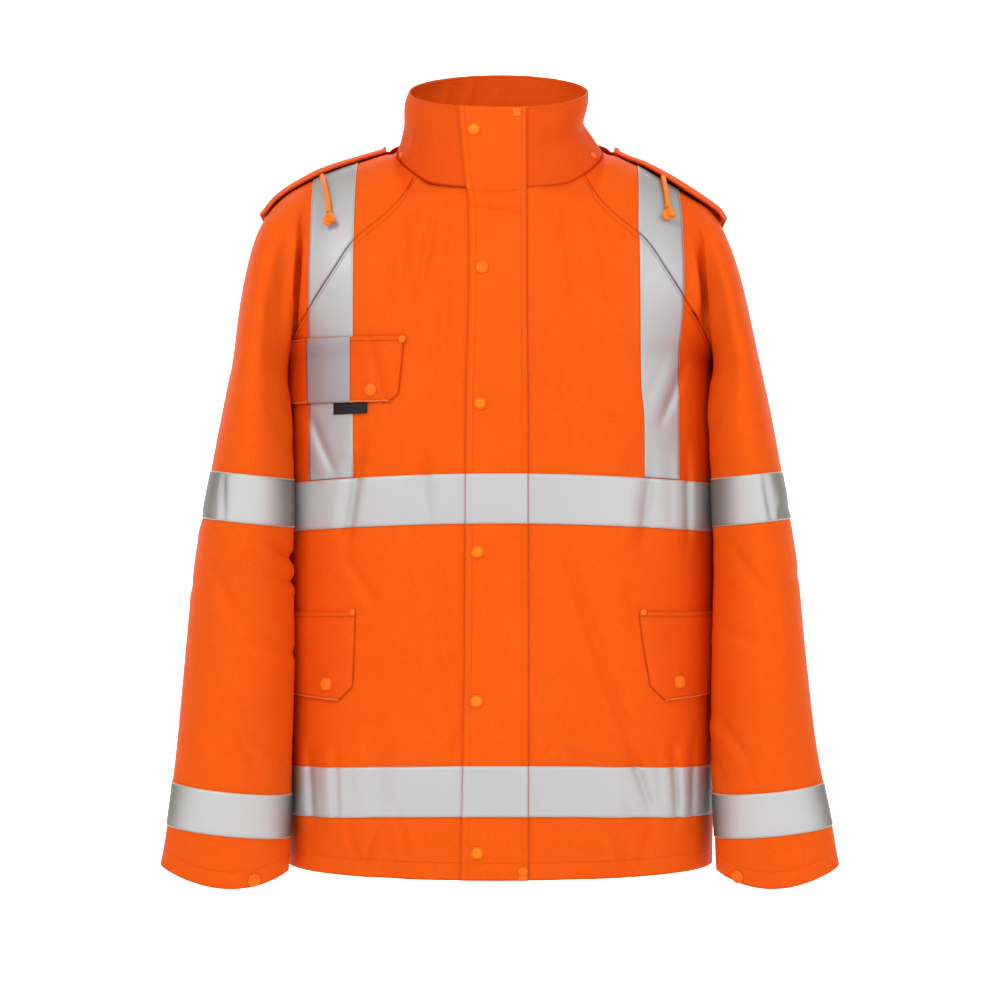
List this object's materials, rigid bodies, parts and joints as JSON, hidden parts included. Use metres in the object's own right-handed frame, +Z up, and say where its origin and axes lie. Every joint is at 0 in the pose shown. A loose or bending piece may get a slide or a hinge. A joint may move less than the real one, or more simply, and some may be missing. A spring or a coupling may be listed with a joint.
{
  "type": "work jacket",
  "caption": "High-visibility work jacket with stand collar, snap storm flap, flap pockets, reflective bands and a hood hanging behind, worn shape.",
  "frame": {"origin": "middle of the neck, about level with the neck seam, where the wearer's neck and shoulders hold the jacket", "axes": "+X to the wearer's left, -Y to the front, +Z up"},
  "size_m": [0.6797, 0.3478, 0.8328],
  "materials": {
    "hivis_orange": "smooth polyurethane coat, soft satin",
    "reflective_silver": "retroreflective tape",
    "snap_orange": "satin moulded plastic",
    "label_black": "woven, matt",
    "cord_orange": "braided, matt"
  },
  "bodies": {
    "root": {"back": "hivis_orange", "chest_pocket_flap": "hivis_orange", "collar": "hivis_orange", "drawcord_left": "cord_orange", "drawcord_right": "cord_orange", "front_left": "hivis_orange", "front_right": "hivis_orange", "hip_pocket_flap_left": "hivis_orange", "hip_pocket_flap_right": "hivis_orange", "hood": "hivis_orange", "knot_left": "cord_orange", "knot_right": "cord_orange", "label_tab": "label_black", "sleeve_left": "hivis_orange", "sleeve_right": "hivis_orange", "snap_chest_pocket": "snap_orange", "snap_collar": "snap_orange", "snap_cuff_left": "snap_orange", "snap_cuff_right": "snap_orange", "snap_flap_1": "snap_orange", "snap_flap_2": "snap_orange", "snap_flap_3": "snap_orange", "snap_flap_4": "snap_orange", "snap_flap_5": "snap_orange", "snap_hip_left": "snap_orange", "snap_hip_right": "snap_orange", "storm_flap": "hivis_orange", "tape_brace_back_left": "reflective_silver", "tape_brace_back_right": "reflective_silver", "tape_brace_front_left": "reflective_silver", "tape_brace_front_right": "reflective_silver", "tape_brace_sleeve_left": "reflective_silver", "tape_brace_sleeve_right": "reflective_silver", "tape_chest_back": "reflective_silver", "tape_chest_flap": "reflective_silver", "tape_chest_front_left": "reflective_silver", "tape_chest_front_right": "reflective_silver", "tape_chest_pocket": "reflective_silver", "tape_hem_back": "reflective_silver", "tape_hem_flap": "reflective_silver", "tape_hem_front_left": "reflective_silver", "tape_hem_front_right": "reflective_silver", "tape_lower_sleeve_left": "reflective_silver", "tape_lower_sleeve_right": "reflective_silver", "tape_upper_sleeve_left": "reflective_silver", "tape_upper_sleeve_right": "reflective_silver"}
  },
  "joints": []
}
